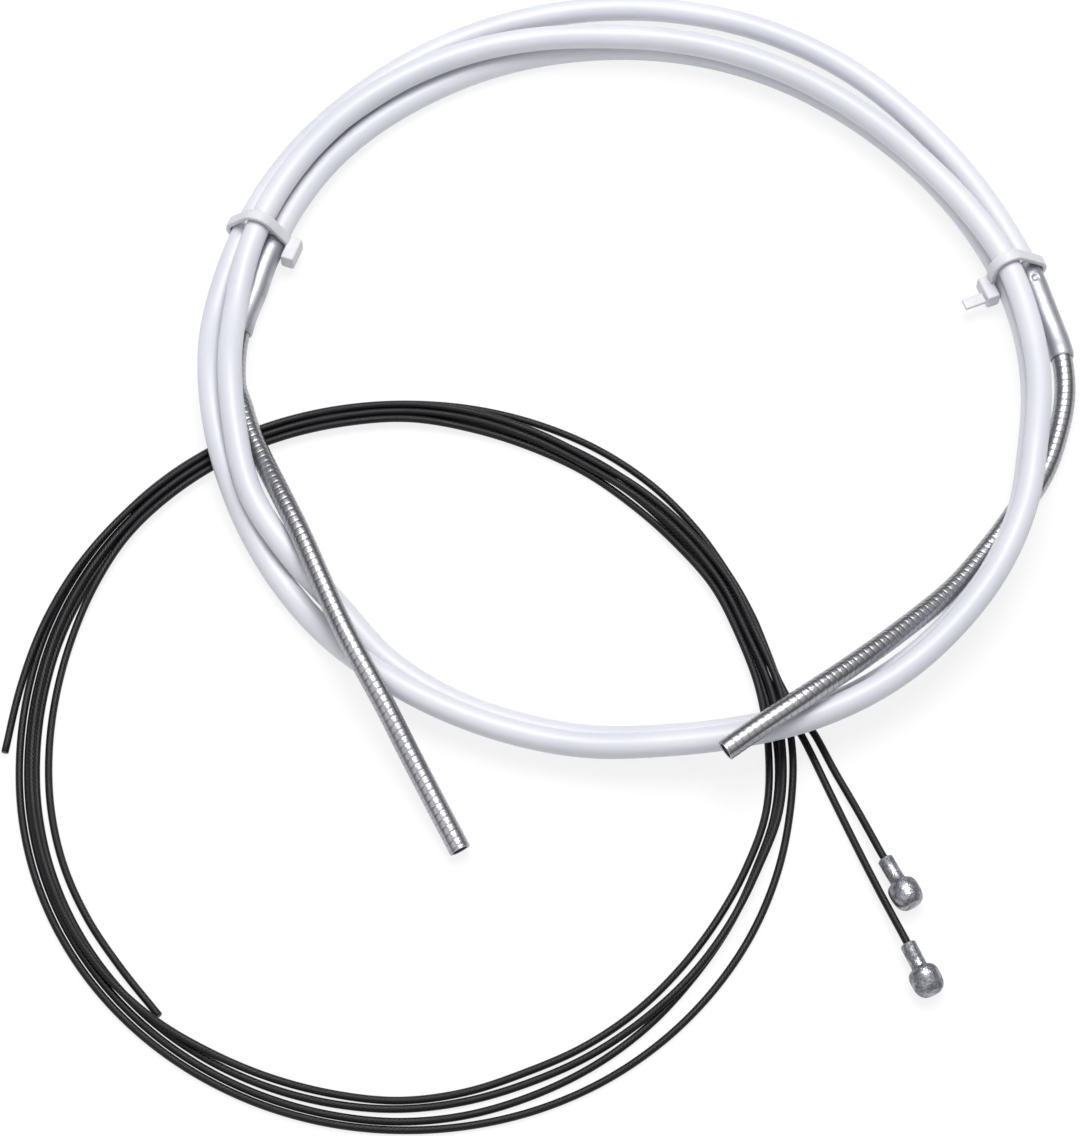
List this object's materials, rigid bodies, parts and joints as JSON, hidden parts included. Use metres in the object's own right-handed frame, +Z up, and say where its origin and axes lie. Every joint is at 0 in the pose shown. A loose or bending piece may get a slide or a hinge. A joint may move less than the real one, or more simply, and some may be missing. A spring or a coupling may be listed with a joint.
{
  "type": "bicycle brake cable set",
  "caption": "Coiled white outer casing with bare flat-wire ends, held by small ties, with loose black coated inner wires that end in cast heads.",
  "frame": {"origin": "middle of the table area that the set covers, on the table", "axes": "+Z up from the table, +Y away from the viewer of the picture, +X to the right"},
  "size_m": [0.2145, 0.2521, 0.0178],
  "materials": {
    "jacket": "smooth white plastic",
    "flat_wire": "bare coiled flat wire",
    "liner": "thin slippery liner",
    "sleeve": "plain pressed steel",
    "tie": "milky nylon",
    "wire_coating": "glossy black coating on stranded steel wire",
    "head": "cast zinc alloy, satin"
  },
  "bodies": {
    "root": {"casing_jacket": "jacket", "flat_wire_tube": "flat_wire", "casing_liner": "liner", "crimp_sleeve_a": "sleeve", "crimp_sleeve_b": "sleeve", "cable_tie_left": "tie", "cable_tie_right": "tie", "inner_wire_short": "wire_coating", "inner_wire_long": "wire_coating", "wire_head_short": "head", "wire_head_long": "head"}
  },
  "joints": []
}
